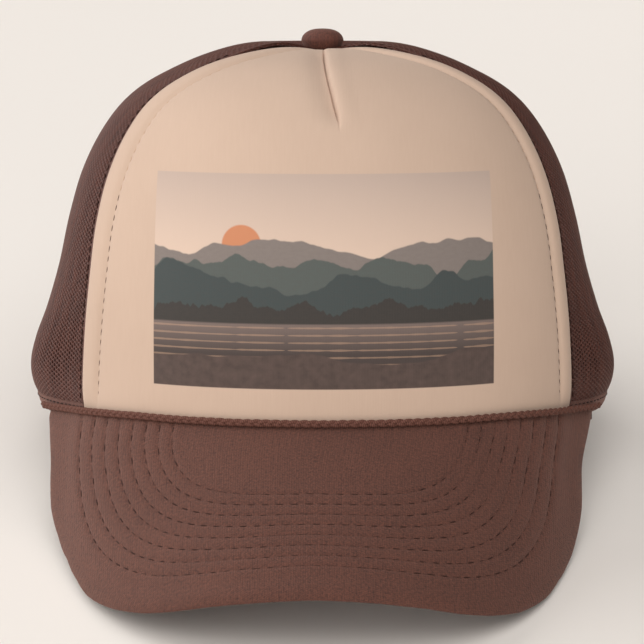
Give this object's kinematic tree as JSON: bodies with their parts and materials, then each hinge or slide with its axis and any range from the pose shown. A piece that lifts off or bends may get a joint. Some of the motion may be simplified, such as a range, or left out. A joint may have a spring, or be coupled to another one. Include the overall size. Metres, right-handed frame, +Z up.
{
  "type": "trucker cap",
  "caption": "Trucker cap with a tan foam front, brown net sides and back, a curved stitched peak, a braided cord, a top button and a rear snap strap.",
  "frame": {"origin": "centre of the cap's bounding box in plan, on the surface that it rests on", "axes": "+Z up from the table top, -Y towards the front edge of the peak, +X towards the cap's left side as it is worn"},
  "size_m": [0.203, 0.254, 0.1507],
  "materials": {
    "foam": "matt knitted face bonded to soft foam, pale tan",
    "net": "soft polyester net, brown",
    "tape": "matt woven binding tape, brown",
    "cloth": "matt twill, brown",
    "braid": "braided cord, brown",
    "band": "matt brushed cotton, brown",
    "strap": "satin moulded plastic, brown"
  },
  "bodies": {
    "root": {"front_panel": "foam", "mesh_side_right": "net", "mesh_side_left": "net", "mesh_back_right": "net", "mesh_back_left": "net", "hem_right": "tape", "hem_left": "tape", "seam_tape_front_right": "tape", "seam_tape_front_left": "tape", "seam_tape_side_right": "tape", "seam_tape_side_left": "tape", "seam_tape_back": "tape", "arch_binding": "tape", "sweatband": "band", "peak": "cloth", "cord": "braid", "button": "cloth", "rear_strap": "strap"}
  },
  "joints": []
}
